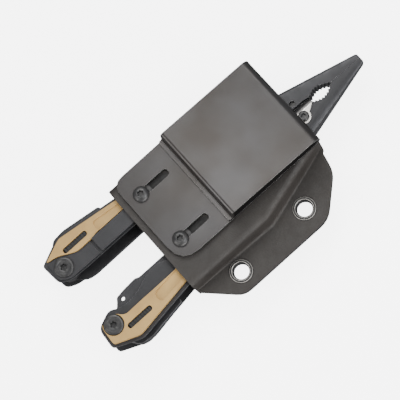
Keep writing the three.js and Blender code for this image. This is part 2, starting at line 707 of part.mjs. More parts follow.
// The upper handle's liner keeps a straight inner edge, under the pocket clip.
const UPPER_LINER_POINTS = [
  [HANDLE_END_X, TOOL_PIVOT_Y + 7.4, 1.5],
  [HANDLE_END_X + 0.9, HANDLE_INNER_Y + 3.4, 2],
  [TOOL_PIVOT_X - 1, HANDLE_INNER_Y + 0.6, 3],
  [TOOL_PIVOT_X + 8, HANDLE_INNER_Y + 0.2, 2],
  [MOUTH_X, HANDLE_INNER_Y, 5],
  [FOLD_PIVOT_X - KNUCKLE_R, INNER_NEAR_Y, 5],
  [FOLD_END_X - 1, INNER_NEAR_Y + 1, 4],
  [FOLD_END_X - 0.4, outerY(FOLD_END_X) - 1.5, 5],
  [FOLD_PIVOT_X - KNUCKLE_R, outerY(FOLD_PIVOT_X - KNUCKLE_R), 2],
  [HANDLE_CORNER_X, HANDLE_CORNER_Y, 2],
].reverse();

// The lower handle's scale wraps round its tool bolt.
const LOWER_SCALE_POINTS = [
  [HANDLE_END_X + SCALE_INSET, TOOL_PIVOT_Y + 6.8, 1],
  [TOOL_PIVOT_X - 5.0, TOOL_PIVOT_Y - 3.6, 3],
  [TOOL_PIVOT_X + 2.4, TOOL_PIVOT_Y - 5.2, 4],
  [TOOL_PIVOT_X + 7, TOOL_PIVOT_Y + 0.2, 4],
  [TOOL_PIVOT_X + 12, TOOL_PIVOT_Y, 3],
  [MOUTH_X, TOOL_PIVOT_Y, 4],
  [FOLD_PIVOT_X - KNUCKLE_R - 6, FOLD_PIVOT_Y - 0.5, 4],
  [FOLD_PIVOT_X - KNUCKLE_R - 3, outerY(FOLD_PIVOT_X - KNUCKLE_R) - SCALE_INSET, 4],
  [HANDLE_CORNER_X + 0.2, HANDLE_CORNER_Y - SCALE_INSET, 1.5],
].reverse();

// Where the pocket clip meets the upper handle's front scale: the clip's edge runs round the tool
// bolt's head, and the scale keeps to it with a gap.
const CLIP_STEP_X = TOOL_PIVOT_X + POCKET_CLIP_STEP_X;
const CLIP_EDGE_POINTS = [
  [TOOL_PIVOT_X - 5.0, TOOL_PIVOT_Y + 6.8, 1],
  [TOOL_PIVOT_X + 1.3, TOOL_PIVOT_Y + 5.5, 4],
  [TOOL_PIVOT_X + 5.7, TOOL_PIVOT_Y + 2.9, 3],
  [TOOL_PIVOT_X + 10, TOOL_PIVOT_Y + 1, 3],
  [CLIP_STEP_X + 1.2, TOOL_PIVOT_Y + 1.2, 0],
];
const POCKET_CLIP_END_X = MOUTH_X + POCKET_CLIP_REACH;
const SCALE_END_X = FOLD_PIVOT_X - KNUCKLE_R - 4;

const UPPER_SCALE_POINTS = [
  ...CLIP_EDGE_POINTS.map(([x, y, r]) => [x, y + SCALE_CLIP_GAP, r]),
  [TOOL_PIVOT_X + 22, TOOL_PIVOT_Y + 2, 3],
  [POCKET_CLIP_END_X + 2, TOOL_PIVOT_Y + 2, 4],
  [SCALE_END_X, outerY(SCALE_END_X) - 3, 2],
  [SCALE_END_X + 1, outerY(SCALE_END_X) - SCALE_INSET, 2],
  [HANDLE_CORNER_X + 0.2, HANDLE_CORNER_Y - SCALE_INSET, 1.5],
].reverse();

// Rounded slot through a scale, beside the tool bolt, drawn in by a gap for what fits in it.
const SLOT_Y = TOOL_PIVOT_Y + SCALE_SLOT_RISE;
function slotOutline(gap) {
  const half = SCALE_SLOT_W / 2 - gap;
  return roundedOutline([
    [SCALE_SLOT_X[0] + gap, SLOT_Y - half, half],
    [SCALE_SLOT_X[1] - gap, SLOT_Y - half, half],
    [SCALE_SLOT_X[1] - gap, SLOT_Y + half, half],
    [SCALE_SLOT_X[0] + gap, SLOT_Y + half, half],
  ]);
}

// A moulded grip bar sits in the slot, on the liner: a strip with ribs across it. It is modelled
// with its seat at height 0 and its ribs upwards.
function gripBar() {
  const half = SCALE_SLOT_W / 2 - BAR_GAP;
  const start = SCALE_SLOT_X[0] + BAR_GAP;
  const pitch = (SCALE_SLOT_X[1] - BAR_GAP - start) / (2 * BAR_RIBS + 1);
  let bar = plate(slotOutline(BAR_GAP), 0, BAR_T);
  for (let i = 0; i < BAR_RIBS; i += 1) {
    const x = start + pitch * (2 * i + 1);
    bar = bar.add(plate(outline([
      [x, SLOT_Y - half],
      [x + pitch, SLOT_Y - half],
      [x + pitch, SLOT_Y + half],
      [x, SLOT_Y + half],
    ]), BAR_T / 2, BAR_T + BAR_RIB_H));
  }
  return bar.intersect(plate(slotOutline(BAR_GAP), -1, BAR_T + BAR_RIB_H + 1));
}

// Shallow thumb recess in a scale's face.
function thumbRecess() {
  const low = MID_Z + HANDLE_HALF - THUMB_RECESS_T;
  return plate(roundedOutline([
    [TOOL_PIVOT_X + 23, TOOL_PIVOT_Y + 1.6, 3],
    [FOLD_PIVOT_X - 26, FOLD_PIVOT_Y + 4, 2],
    [FOLD_PIVOT_X - 26, outerY(FOLD_PIVOT_X - 26) - 3, 2],
    [TOOL_PIVOT_X + 23, TOOL_PIVOT_Y + 7.2, 3],
  ]), low, low + 2);
}

function bolted(solid) {
  return solid
    .subtract(disc(TOOL_PIVOT_X, TOOL_PIVOT_Y, TOOL_PIN_R + SEAT, 0, SHEATH_HEIGHT))
    .subtract(disc(FOLD_PIVOT_X, FOLD_PIVOT_Y, FOLD_PIN_R + SEAT, 0, SHEATH_HEIGHT));
}

// A bolt with its shouldered head on the front face; its shank stops short of the nut's head.
function boltSolid(x, y, pin, headR, headLow, headH) {
  const head = turned([
    [0, SHANK_END_Z],
    [pin, SHANK_END_Z],
    [pin, headLow],
    [headR, headLow],
    [headR, headLow + headH * 0.55],
    [headR - 0.55, headLow + headH],
    [0, headLow + headH],
  ], x, y);
  return head.subtract(recess(x, y, headR * 0.36, headLow - 0.4, headLow + headH + 1));
}

function nutSolid(x, y, pin, headR, headHigh, headH) {
  const nut = turned([
    [0, headHigh - headH],
    [headR - 0.5, headHigh - headH],
    [headR, headHigh - headH * 0.5],
    [headR, headHigh],
    [pin, headHigh],
    [pin, SHANK_END_Z - SEAT],
    [0, SHANK_END_Z - SEAT],
  ], x, y);
  return nut.subtract(recess(x, y, headR * 0.42, headHigh - headH - 1, headHigh - headH + 0.9));
}

// The handles are a pair, apart from the upper one's pocket clip and its smaller bolt head.
function buildHandle(side) {
  const upper = side === "upper";
  const liner = bolted(plate(roundedOutline(upper ? UPPER_LINER_POINTS : LINER_POINTS), 0, LINER_T));
  addPiece(`liner_front_${side}`, onSide(side, liner.translate([0, 0, FRONT_LINER_Z])), FINISH.oxide);
  addPiece(`liner_back_${side}`, onSide(side, liner.translate([0, 0, BACK_LINER_Z])), FINISH.oxide);

  const frontSeat = FRONT_LINER_Z + LINER_T + SEAT;
  const backSeat = BACK_LINER_Z - SEAT;
  const headR = upper ? UPPER_HEAD_R : LOWER_HEAD_R;
  const frontScale = plate(roundedOutline(upper ? UPPER_SCALE_POINTS : LOWER_SCALE_POINTS),
    frontSeat, MID_Z + HANDLE_HALF)
    .subtract(disc(TOOL_PIVOT_X, TOOL_PIVOT_Y, headR + HEAD_GAP, MID_Z, SHEATH_HEIGHT))
    .subtract(plate(slotOutline(0), MID_Z, SHEATH_HEIGHT))
    .subtract(thumbRecess());
  addPiece(`scale_front_${side}`, onSide(side, frontScale), FINISH.scale);
  const backScale = plate(roundedOutline(LOWER_SCALE_POINTS), MID_Z - HANDLE_HALF, backSeat)
    .subtract(disc(TOOL_PIVOT_X, TOOL_PIVOT_Y, LOWER_HEAD_R + HEAD_GAP, 0, MID_Z))
    .subtract(plate(slotOutline(0), 0, MID_Z));
  addPiece(`scale_back_${side}`, onSide(side, backScale), FINISH.scale);
  const frontBar = gripBar().translate([0, 0, frontSeat]);
  const backBar = gripBar().mirror([0, 0, 1]).translate([0, 0, backSeat]);
  addPiece(`grip_bar_front_${side}`, onSide(side, frontBar), FINISH.bar);
  addPiece(`grip_bar_back_${side}`, onSide(side, backBar), FINISH.bar);

  const spacerEnd = FOLD_PIVOT_X - KNUCKLE_R - 5;
  const spacerStart = spacerEnd - SPACER_LENGTH;
  const spacer = plate(roundedOutline([
    [spacerStart, outerY(spacerStart) - SPACER_REACH, 1],
    [spacerEnd, outerY(spacerEnd) - SPACER_REACH, 1],
    [spacerEnd, outerY(spacerEnd) - SCALE_INSET, 1],
    [spacerStart, outerY(spacerStart) - SCALE_INSET, 1],
  ]), MID_Z - CHANNEL_HALF + SEAT, MID_Z + CHANNEL_HALF - SEAT);
  addPiece(`spacer_${side}`, onSide(side, spacer), FINISH.oxide);

  const headLow = frontSeat + (upper ? POCKET_CLIP_T + SEAT : 0);
  const headH = upper ? HEAD_H : SCALE_T + HEAD_H * 0.6 - SEAT;
  const toolBolt = boltSolid(TOOL_PIVOT_X, TOOL_PIVOT_Y, TOOL_PIN_R - SEAT, headR, headLow, headH);
  const toolNut = nutSolid(TOOL_PIVOT_X, TOOL_PIVOT_Y, TOOL_PIN_R - SEAT, LOWER_HEAD_R,
    backSeat, SCALE_T + HEAD_H * 0.4);
  addPiece(`tool_bolt_${side}`, onSide(side, toolBolt), FINISH.screw);
  addPiece(`tool_nut_${side}`, onSide(side, toolNut), FINISH.screw);
  const foldBolt = boltSolid(FOLD_PIVOT_X, FOLD_PIVOT_Y, FOLD_PIN_R - SEAT, FOLD_HEAD_R,
    frontSeat, FOLD_HEAD_H);
  const foldNut = nutSolid(FOLD_PIVOT_X, FOLD_PIVOT_Y, FOLD_PIN_R - SEAT, FOLD_HEAD_R,
    backSeat, FOLD_HEAD_H);
  addPiece(`fold_bolt_${side}`, onSide(side, foldBolt), FINISH.screw);
  addPiece(`fold_nut_${side}`, onSide(side, foldNut), FINISH.screw);
}

buildHandle("upper");
buildHandle("lower");

// The pocket clip: a plate round the tool bolt, a joggle, and a long raised arm.
function buildPocketClip() {
  const low = FRONT_LINER_Z + LINER_T + SEAT;
  const high = low + POCKET_CLIP_T;
  const armY = TOOL_PIVOT_Y + 1.4;
  const platePart = plate(roundedOutline([
    [HANDLE_END_X + 1.8, HANDLE_INNER_Y + 4, 2],
    [TOOL_PIVOT_X - 1, HANDLE_INNER_Y + 0.8, 3],
    [CLIP_STEP_X + 1.2, HANDLE_INNER_Y + 0.5, 0],
    ...[...CLIP_EDGE_POINTS].reverse(),
  ]), low, high);
  const arm = plate(roundedOutline([
    [CLIP_STEP_X, HANDLE_INNER_Y + 0.5, 0.5],
    [POCKET_CLIP_END_X, HANDLE_INNER_Y + 0.5, 3],
    [POCKET_CLIP_END_X, armY, 3],
    [CLIP_STEP_X, armY, 0.5],
  ]), low + POCKET_CLIP_RISE, high + POCKET_CLIP_RISE);
  const groove = plate(outline([
    [CLIP_STEP_X - POCKET_CLIP_GROOVE_W, HANDLE_INNER_Y - 2],
    [CLIP_STEP_X, HANDLE_INNER_Y - 2],
    [CLIP_STEP_X, armY + 1],
    [CLIP_STEP_X - POCKET_CLIP_GROOVE_W, armY + 1],
  ]), high - POCKET_CLIP_GROOVE_T, high + 0.1);
  const hole = disc(TOOL_PIVOT_X, TOOL_PIVOT_Y, TOOL_PIN_R + SEAT, 0, SHEATH_HEIGHT);
  addPiece("pocket_clip", platePart.add(arm).subtract(groove).subtract(hole), FINISH.oxide);
}

buildPocketClip();

// ---- Tools in the handles -----------------------------------------------------------------------

// Places across the channel. The lower handle's knife is next to its front liner and the upper
// handle's saw next to its back liner, so that each can swing past the other.
const KNIFE_HIGH = MID_Z + CHANNEL_HALF - STACK_GAP;
const KNIFE_LOW = KNIFE_HIGH - BLADE_T;
const SAW_LOW = MID_Z - CHANNEL_HALF + STACK_GAP;
const SAW_HIGH = SAW_LOW + BLADE_T;

// Top faces of a handle's two short tools, counted down from a height.
function shortTops(top) {
  return [top, top - SHORT_T - STACK_GAP];
}

const UPPER_SHORT_TOPS = shortTops(MID_Z + CHANNEL_HALF - STACK_GAP);
const LOWER_SHORT_TOPS = shortTops(KNIFE_LOW - STACK_GAP);

function toolBore() {
  return disc(TOOL_PIVOT_X, TOOL_PIVOT_Y, TOOL_PIN_R + RUN, 0, SHEATH_HEIGHT);
}

// A thick washer takes up what the tools leave of the channel.
function buildToolWasher(side, low, high) {
  const washer = disc(TOOL_PIVOT_X, TOOL_PIVOT_Y, TOOL_EYE_R, low, high).subtract(toolBore());
  addPiece(`tool_washer_${side}`, onSide(side, washer), FINISH.screw);
}

const shortBottom = (tops) => tops[1] - SHORT_T - STACK_GAP;
buildToolWasher("upper", SAW_HIGH + STACK_GAP, shortBottom(UPPER_SHORT_TOPS));
buildToolWasher("lower", MID_Z - CHANNEL_HALF + STACK_GAP, shortBottom(LOWER_SHORT_TOPS));

// Long blades lie along the handle's inner side, and swing inwards.
function longBlade(points, low, high) {
  return plate(roundedOutline(points), low, high)
    .add(disc(TOOL_PIVOT_X, TOOL_PIVOT_Y, TOOL_EYE_R, low, high))
    .subtract(toolBore());
}

const BLADE_TIP_X = TOOL_PIVOT_X + BLADE_REACH;

function buildKnife() {
  const spine = TOOL_PIVOT_Y - 10;
  const blade = longBlade([
    [TOOL_PIVOT_X - 3.4, TOOL_PIVOT_Y - 2, 2],
    [TOOL_PIVOT_X + 5, TOOL_PIVOT_Y - 5, 2],
    [TOOL_PIVOT_X + 7.3, TOOL_PIVOT_Y - 7.4, 0.8],
    [TOOL_PIVOT_X + 8.9, spine + 0.4, 0.8],
    [TOOL_PIVOT_X + 14, spine - 0.3, 0.8],
    [TOOL_PIVOT_X + 21, spine - 0.7, 0.6],
    [TOOL_PIVOT_X + 23, spine + 0.2, 0.6],
    [TOOL_PIVOT_X + 40, spine + 0.2, 3],
    [BLADE_TIP_X - 22, spine + 1.2, 6],
    [BLADE_TIP_X, TOOL_PIVOT_Y - 5.4, 0.5],
    [BLADE_TIP_X - 26, TOOL_PIVOT_Y + 1.4, 6],
    [TOOL_PIVOT_X + 18, TOOL_PIVOT_Y + 3.4, 2],
    [TOOL_PIVOT_X, TOOL_PIVOT_Y + 4.6, 2],
  ].reverse(), KNIFE_LOW, KNIFE_HIGH);
  const grind = (face, depthSign) => solidOf(new ConvexGeometry([
    [TOOL_PIVOT_X + 20, TOOL_PIVOT_Y + 3.4],
    [BLADE_TIP_X - 26, TOOL_PIVOT_Y + 1.5],
    [BLADE_TIP_X + 2, TOOL_PIVOT_Y - 5.4],
  ].flatMap(([x, y]) => [
    new THREE.Vector3(x, y + 3, face + depthSign),
    new THREE.Vector3(x, y + 3, face - depthSign * (BLADE_T / 2 - 0.2)),
    new THREE.Vector3(x, y, face - depthSign * (BLADE_T / 2 - 0.2)),
    new THREE.Vector3(x, y - KNIFE_GRIND, face),
    new THREE.Vector3(x, y - KNIFE_GRIND, face + depthSign),
  ])));
  const hole = disc(TOOL_PIVOT_X + 10.8, TOOL_PIVOT_Y - 7.4, THUMB_HOLE_R, 0, SHEATH_HEIGHT);
  const ground = blade.subtract(hole).subtract(grind(KNIFE_HIGH, 1)).subtract(grind(KNIFE_LOW, -1));
  addPiece("knife_blade", onSide("lower", ground), FINISH.oxide);
}

function buildSaw() {
  const teeth = 24;
  const tooth = 1.1;
  const edge = [];
  for (let i = 0; i <= teeth; i += 1) {
    const x = BLADE_TIP_X - 3 - ((BLADE_REACH - 26) * i) / teeth;
    const line = Math.min(TOOL_PIVOT_Y + 1.4, outerY(x) - SPACER_REACH - 0.4);
    edge.push([x, line - (i % 2 === 0 ? 0 : tooth)]);
  }
  const blade = longBlade([
    [TOOL_PIVOT_X - 3, TOOL_PIVOT_Y - 3, 2],
    [TOOL_PIVOT_X + 4, TOOL_PIVOT_Y - 8.4, 2],
    [TOOL_PIVOT_X + 8, TOOL_PIVOT_Y - 9.2, 2],
    [TOOL_PIVOT_X + 40, TOOL_PIVOT_Y - 9, 4],
    [BLADE_TIP_X - 3, TOOL_PIVOT_Y - 8.6, 3],
    ...edge,
    [TOOL_PIVOT_X + 16, TOOL_PIVOT_Y + 2.4, 1],
    [TOOL_PIVOT_X, TOOL_PIVOT_Y + 4.6, 2],
  ], SAW_LOW, SAW_HIGH);
  addPiece("saw_blade", blade, FINISH.oxide);
}

buildKnife();
buildSaw();

// Short tools lie along the handle's outer side, and swing outwards.
function shortTool(high, points) {
  const low = high - SHORT_T;
  return plate(roundedOutline(points), low, high)
    .add(disc(TOOL_PIVOT_X, TOOL_PIVOT_Y, TOOL_EYE_R, low, high))
    .subtract(toolBore());
}

const SHORT_TIP_X = TOOL_PIVOT_X + SHORT_REACH;

function buildShortTools() {
  const back = (x) => outerY(x) + 1.6;
  const opener = shortTool(UPPER_SHORT_TOPS[0], [
    [TOOL_PIVOT_X - 2, TOOL_PIVOT_Y - 3, 2],
    [TOOL_PIVOT_X + 6, TOOL_PIVOT_Y, 2],
    [SHORT_TIP_X - 11, back(SHORT_TIP_X) - 10, 2],
    [SHORT_TIP_X - 7, back(SHORT_TIP_X) - 5, 2],
    [SHORT_TIP_X - 4.5, back(SHORT_TIP_X) - 7.5, 1],
    [SHORT_TIP_X, back(SHORT_TIP_X) - 6.5, 1.4],
    [SHORT_TIP_X, back(SHORT_TIP_X), 1.4],
    [HANDLE_CORNER_X + 4, back(HANDLE_CORNER_X + 4), 2],
    [HANDLE_CORNER_X - 3, HANDLE_CORNER_Y + 0.4, 2],
    [TOOL_PIVOT_X - 4, TOOL_PIVOT_Y + 4, 2],
  ].reverse());
  addPiece("bottle_opener", opener, FINISH.oxide);
  const driver = shortTool(UPPER_SHORT_TOPS[1], [
    [TOOL_PIVOT_X - 2, TOOL_PIVOT_Y - 3, 2],
    [TOOL_PIVOT_X + 6, TOOL_PIVOT_Y + 1, 2],
    [SHORT_TIP_X - 9, back(SHORT_TIP_X) - 6.4, 2],
    [SHORT_TIP_X - 1.5, back(SHORT_TIP_X) - 5.6, 0.2],
    [SHORT_TIP_X - 1.5, back(SHORT_TIP_X), 0.2],
    [HANDLE_CORNER_X + 4, back(HANDLE_CORNER_X + 4), 2],
    [HANDLE_CORNER_X - 3, HANDLE_CORNER_Y - 0.6, 2],
    [TOOL_PIVOT_X - 4, TOOL_PIVOT_Y + 4, 2],
  ].reverse());
  addPiece("flat_driver", driver, FINISH.oxide);
  const awl = shortTool(LOWER_SHORT_TOPS[0], [
    [TOOL_PIVOT_X - 2, TOOL_PIVOT_Y - 3, 2],
    [TOOL_PIVOT_X + 6, TOOL_PIVOT_Y + 1, 2],
    [SHORT_TIP_X - 12, back(SHORT_TIP_X) - 6.6, 2],
    [SHORT_TIP_X, back(SHORT_TIP_X) - 1.6, 0.6],
    [SHORT_TIP_X - 0.6, back(SHORT_TIP_X), 0.6],
    [HANDLE_CORNER_X + 4, back(HANDLE_CORNER_X + 4), 2],
    [HANDLE_CORNER_X - 3, HANDLE_CORNER_Y + 0.4, 2],
    [TOOL_PIVOT_X - 4, TOOL_PIVOT_Y + 4, 2],
  ].reverse());
  addPiece("awl", onSide("lower", awl), FINISH.oxide);
  const cross = shortTool(LOWER_SHORT_TOPS[1], [
    [TOOL_PIVOT_X - 2, TOOL_PIVOT_Y - 3, 2],
    [TOOL_PIVOT_X + 6, TOOL_PIVOT_Y + 1, 2],
    [SHORT_TIP_X - 8, back(SHORT_TIP_X) - 5.8, 2],
    [SHORT_TIP_X - 3, back(SHORT_TIP_X) - 5.2, 1],
    [SHORT_TIP_X - 0.5, back(SHORT_TIP_X) - 3.6, 0.6],
    [SHORT_TIP_X - 0.5, back(SHORT_TIP_X) - 1.6, 0.6],
    [SHORT_TIP_X - 3, back(SHORT_TIP_X), 1],
    [HANDLE_CORNER_X + 4, back(HANDLE_CORNER_X + 4), 2],
    [HANDLE_CORNER_X - 3, HANDLE_CORNER_Y + 0.4, 2],
    [TOOL_PIVOT_X - 4, TOOL_PIVOT_Y + 4, 2],
  ].reverse());
  addPiece("cross_driver", onSide("lower", cross), FINISH.oxide);
}

buildShortTools();

export default group;
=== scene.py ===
from math import cos, pi, radians, sin

import bpy
from mathutils import Matrix, Vector


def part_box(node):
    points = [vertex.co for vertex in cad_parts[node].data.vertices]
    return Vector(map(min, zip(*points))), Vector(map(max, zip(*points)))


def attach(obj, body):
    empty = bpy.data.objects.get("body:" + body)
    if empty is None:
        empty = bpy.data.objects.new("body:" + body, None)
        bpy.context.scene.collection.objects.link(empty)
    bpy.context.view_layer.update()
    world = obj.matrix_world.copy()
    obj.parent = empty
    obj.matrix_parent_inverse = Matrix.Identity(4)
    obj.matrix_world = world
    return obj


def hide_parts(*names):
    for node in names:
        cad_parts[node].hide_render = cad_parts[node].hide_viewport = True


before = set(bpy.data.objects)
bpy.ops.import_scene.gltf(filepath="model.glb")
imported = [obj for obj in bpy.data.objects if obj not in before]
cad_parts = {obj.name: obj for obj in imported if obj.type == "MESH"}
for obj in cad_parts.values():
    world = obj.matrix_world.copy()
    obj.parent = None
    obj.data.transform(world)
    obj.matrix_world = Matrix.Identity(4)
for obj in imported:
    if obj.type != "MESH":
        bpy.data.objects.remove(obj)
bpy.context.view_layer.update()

MM = 0.001


# ---- Camera, floor and lights ------------------------------------------------------------------
# The tool lies on a pale light table under large soft boxes, seen from nearly straight above with a
# long lens. The camera leans 15 degrees towards -Y and is rolled so that the jaws point up and right.

CAMERA_DISTANCE = 0.9
VIEW_WIDTH = 0.186
LEAN = radians(15)
ROLL = radians(42)
look_at = Vector((-47.4, 1.0, 12.7)) * MM

towards_camera = Vector((0, -sin(LEAN), cos(LEAN)))
along_tool = Vector((1, 0, 0))
across_tool = towards_camera.cross(along_tool)
image_right = cos(ROLL) * along_tool - sin(ROLL) * across_tool
image_up = sin(ROLL) * along_tool + cos(ROLL) * across_tool
turn = Matrix((image_right, image_up, towards_camera)).transposed().to_4x4()

bpy.ops.object.camera_add()
camera = bpy.context.object
camera.name = "studio_camera"
camera.matrix_world = Matrix.Translation(look_at + towards_camera * CAMERA_DISTANCE) @ turn
camera.data.sensor_width = 36
camera.data.lens = 36 * CAMERA_DISTANCE / VIEW_WIDTH
bpy.context.scene.camera = camera


def soft_box(name, place, size, power, colour=(1, 1, 1)):
    bpy.ops.object.light_add(type="AREA", location=place)
    light = bpy.context.object
    light.name = name
    light.data.shape = "RECTANGLE"
    light.data.size = size[0]
    light.data.size_y = size[1]
    light.data.energy = power
    light.data.color = colour
    light.rotation_euler = (look_at - Vector(place)).to_track_quat("-Z", "Y").to_euler()


soft_box("key_box", (0.30, 0.70, 0.95), (0.8, 0.5), 9.0)
soft_box("near_box", (0.00, 0.055, 0.34), (0.17, 0.10), 0.23, (1.0, 0.99, 0.97))
soft_box("fill_box", (-0.95, 0.10, 0.60), (0.7, 0.7), 6.5, (1.0, 0.98, 0.96))
soft_box("low_box", (0.35, -0.60, 0.90), (0.6, 0.5), 7.0, (0.96, 0.98, 1.0))
soft_box("side_box", (-0.10, -0.85, 0.24), (0.9, 0.25), 7.0, (1.0, 0.98, 0.96))

world = bpy.data.worlds.new("studio_air")
world.use_nodes = True
world.node_tree.nodes["Background"].inputs["Color"].default_value = (0.96, 0.97, 1.0, 1)
world.node_tree.nodes["Background"].inputs["Strength"].default_value = 0.32
bpy.context.scene.world = world

bpy.ops.mesh.primitive_plane_add(size=6, location=(0, 0, 0))
table = bpy.context.object
table.name = "table"
table_paint = bpy.data.materials.new("table_paint")
table_paint.use_nodes = True
shader = table_paint.node_tree.nodes["Principled BSDF"]
shader.inputs["Base Color"].default_value = (0.92, 0.92, 0.92, 1)
shader.inputs["Roughness"].default_value = 0.9
shader.inputs["Emission Color"].default_value = (1, 1, 1, 1)
shader.inputs["Emission Strength"].default_value = 5.0
table.data.materials.append(table_paint)
table.visible_diffuse = False
table.visible_glossy = False


# ---- Sheath ------------------------------------------------------------------------------------
# One sheet of 2 mm thermoformed plastic, folded over the tool, pressed round it while hot, and
# riveted along its open edge. Its cut edges are sanded round and its face keeps a pebbled grain.
# Under the clip's two slots its colour is painted near black: painted shade for the slots' shadow.


def clean_copy(node, name):
    """A copy of a frame part's mesh with its loose facets joined, ready to be worked on."""
    bpy.ops.object.select_all(action="DESELECT")
    piece = bpy.data.objects.new(name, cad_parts[node].data.copy())
    bpy.context.scene.collection.objects.link(piece)
    piece.data.materials.clear()
    piece.select_set(True)
    bpy.context.view_layer.objects.active = piece
    bpy.ops.mesh.customdata_custom_splitnormals_clear()
    bpy.ops.object.mode_set(mode="EDIT")
    bpy.ops.mesh.select_all(action="SELECT")
    bpy.ops.mesh.remove_doubles(threshold=0.002 * MM)
    bpy.ops.mesh.dissolve_limited(angle_limit=radians(0.6))
    bpy.ops.object.mode_set(mode="OBJECT")
    return piece


def break_edges(piece, width, segments=2, limit=35, wear_and_highlight=False):
    """Rounds every sharp corner a little, then lets broad faces keep their own flat shading. Where the
    corners show wear and a painted highlight, their narrow faces take the piece's second material."""
    bevel = piece.modifiers.new("broken_edges", "BEVEL")
    if wear_and_highlight:
        piece.data.materials.append(None)
        piece.data.materials.append(None)
        bevel.material = 1
    bevel.width = width
    bevel.segments = segments
    bevel.limit_method = "ANGLE"
    bevel.angle_limit = radians(limit)
    bevel.use_clamp_overlap = True
    bevel.miter_outer = "MITER_ARC"
    bpy.ops.object.modifier_apply(modifier="broken_edges")
    bpy.ops.object.shade_smooth_by_angle(angle=radians(32))
    shading = piece.modifiers.new("flat_faces", "WEIGHTED_NORMAL")
    shading.mode = "FACE_AREA"
    shading.weight = 100
    shading.keep_sharp = True
    bpy.ops.object.modifier_apply(modifier="flat_faces")
    return piece


def finished_copy(node, name, edge, segments=2, limit=35, wear_and_highlight=False):
    """A frame part copied as it is, with its corners broken."""
    return break_edges(clean_copy(node, name), edge, segments, limit, wear_and_highlight)


def select_edges(piece, wanted):
    """Selects, in edit mode, the edges whose two end points pass a test on place."""
    bpy.ops.object.mode_set(mode="EDIT")
    bpy.ops.mesh.select_mode(type="EDGE")
    bpy.ops.mesh.select_all(action="DESELECT")
    bpy.ops.object.mode_set(mode="OBJECT")
    points = piece.data.vertices
    for edge in piece.data.edges:
        first, second = (points[i].co for i in edge.vertices)
        edge.select = wanted(first, second)
    bpy.ops.object.mode_set(mode="EDIT")


def assign(piece, material, body, slot, *nodes, edge=None):
    """Paints a piece, ties it to its body and hides the frame parts it stands for."""
    if edge:
        piece.data.materials[0] = material
        piece.data.materials[1] = edge
    else:
        piece.data.materials.clear()
        piece.data.materials.append(material)
    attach(piece, body)
    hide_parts(*nodes)
    return piece


def new_material(name, colour, roughness, metallic):
    """A principled material, returned with its node tree and shader for the finish to be added."""
    material = bpy.data.materials.new(name)
    material.use_nodes = True
    tree = material.node_tree
    shader = tree.nodes["Principled BSDF"]
    shader.inputs["Base Color"].default_value = (*colour, 1)
    shader.inputs["Roughness"].default_value = roughness
    shader.inputs["Metallic"].default_value = metallic
    return material, tree, shader


def mottled(tree, scale, detail, colours, where=(0.35, 0.65), stretch=(1, 1, 1)):
    """Noise on Object coordinates run through a ramp between colours; returns the ramp."""
    place = tree.nodes.new("ShaderNodeTexCoord")
    mapping = tree.nodes.new("ShaderNodeMapping")
    mapping.inputs["Scale"].default_value = stretch
    noise = tree.nodes.new("ShaderNodeTexNoise")
    noise.inputs["Scale"].default_value = scale
    noise.inputs["Detail"].default_value = detail
    ramp = tree.nodes.new("ShaderNodeValToRGB")
    ramp.color_ramp.elements[0].position = where[0]
    ramp.color_ramp.elements[1].position = where[1]
    ramp.color_ramp.elements[0].color = (*colours[0], 1)
    ramp.color_ramp.elements[1].color = (*colours[1], 1)
    tree.links.new(place.outputs["Object"], mapping.inputs["Vector"])
    tree.links.new(mapping.outputs["Vector"], noise.inputs["Vector"])
    tree.links.new(noise.outputs["Fac"], ramp.inputs["Fac"])
    return ramp


def relief(tree, shader, height, depth, strength=1.0):
    """Bump from a height socket, chained on to any bump already on the shader."""
    bump = tree.nodes.new("ShaderNodeBump")
    bump.inputs["Distance"].default_value = depth
    bump.inputs["Strength"].default_value = strength
    tree.links.new(height, bump.inputs["Height"])
    if shader.inputs["Normal"].links:
        tree.links.new(shader.inputs["Normal"].links[0].from_socket, bump.inputs["Normal"])
    tree.links.new(bump.outputs["Normal"], shader.inputs["Normal"])


sheath_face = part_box("sheath_shell")[1][2]
sheath_sheet, tree, shader = new_material("sheath_sheet", (0.026, 0.023, 0.020), 0.60, 0.0)
cloud = mottled(tree, 60, 4, ((0.023, 0.0200, 0.0175), (0.030, 0.026, 0.0225)))
colour = cloud.outputs["Color"]
place = tree.nodes.new("ShaderNodeTexCoord")
# Painted shade: two soft spots under the clip's slots blend the sheet's colour to near black, standing in
# for the shadow down in the slots.
slot_shade_reach = Vector((10.0, 2.6, 2.0)) * MM
screw_to_slot_middle = 6.5 * MM
for node in ("clip_screw_upper", "clip_screw_lower"):
    low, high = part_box(node)
    centre = Vector(((low[0] + high[0]) / 2 + screw_to_slot_middle, (low[1] + high[1]) / 2, sheath_face))
    spot = tree.nodes.new("ShaderNodeMapping")
    spot.inputs["Location"].default_value = [-c / r for c, r in zip(centre, slot_shade_reach)]
    spot.inputs["Scale"].default_value = [1 / r for r in slot_shade_reach]
    fade = tree.nodes.new("ShaderNodeTexGradient")
    fade.gradient_type = "SPHERICAL"
    slot_shade_mask = tree.nodes.new("ShaderNodeValToRGB")
    slot_shade_mask.color_ramp.elements[1].position = 0.2
    slot_shade = tree.nodes.new("ShaderNodeMix")
    slot_shade.data_type = "RGBA"
    slot_shade.inputs["B"].default_value = (0.004, 0.0035, 0.003, 1)
    tree.links.new(place.outputs["Object"], spot.inputs["Vector"])
    tree.links.new(spot.outputs["Vector"], fade.inputs["Vector"])
    tree.links.new(fade.outputs["Fac"], slot_shade_mask.inputs["Fac"])
    tree.links.new(slot_shade_mask.outputs["Color"], slot_shade.inputs["Factor"])
    tree.links.new(colour, slot_shade.inputs["A"])
    colour = slot_shade.outputs["Result"]
tree.links.new(colour, shader.inputs["Base Color"])
